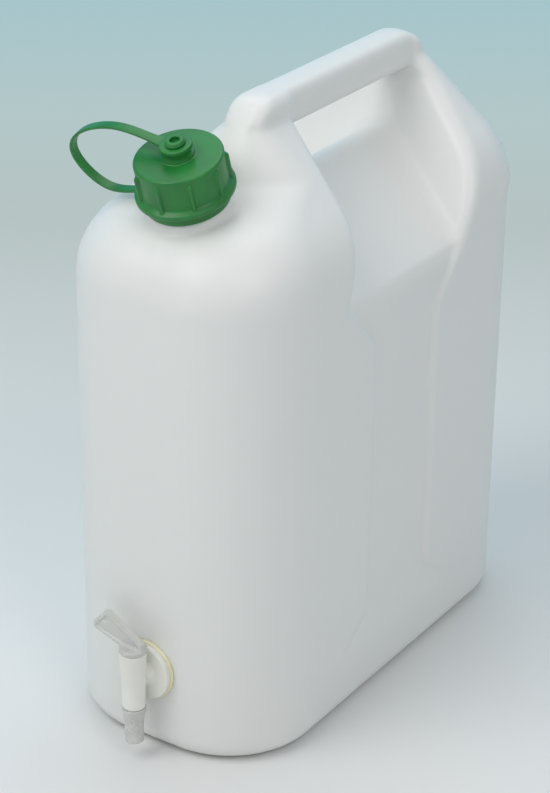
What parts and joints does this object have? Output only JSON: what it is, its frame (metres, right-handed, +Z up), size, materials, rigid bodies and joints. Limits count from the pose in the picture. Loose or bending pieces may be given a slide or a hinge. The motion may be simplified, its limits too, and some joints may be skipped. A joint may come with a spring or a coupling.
{
  "type": "water container with tap",
  "caption": "Upright plastic water can with a carrying handle, a tilted screw neck, a tethered ribbed cap and a lever tap near the base.",
  "frame": {"origin": "on the floor under the middle of the can, in the plane its base stands on", "axes": "+Z up; -Y towards the tap and the cap, so +Y is the back; X across the can"},
  "size_m": [0.143, 0.3129, 0.3535],
  "materials": {
    "tank_plastic": "satin",
    "green_plastic": "satin",
    "seal_foam": "matte",
    "tap_plastic": "satin",
    "clear_plastic": "translucent",
    "washer_rubber": "matte"
  },
  "bodies": {
    "can": {"canister": "tank_plastic", "tether": "green_plastic", "tap_body": "tap_plastic", "tap_washer": "washer_rubber", "tap_inner_washer": "washer_rubber", "tap_nut": "tap_plastic"},
    "seal": {"cap_seal": "seal_foam"},
    "cap": {"screw_cap": "green_plastic"},
    "plug": {"tap_plug": "clear_plastic"}
  },
  "joints": [
    {"name": "cap_lift", "type": "slide", "parent": "can", "child": "seal", "axis": [0, -0.309, 0.9511], "range_m": [0, 0.0091], "deforming": ["tether"]},
    {"name": "cap_turn", "type": "hinge", "parent": "seal", "child": "cap", "pos_m": [0, -0.11309, 0.33574], "axis": [0, -0.309, 0.9511], "range_deg": [0, 540]},
    {"name": "tap_turn", "type": "hinge", "parent": "can", "child": "plug", "pos_m": [0, -0.15925, 0.051], "axis": [0, 0, 1], "range_deg": [0, 90]}
  ],
  "couplings": [
    {"joint": "cap_lift", "follows": "cap_turn", "m_per_rad": 0.00095493}
  ]
}
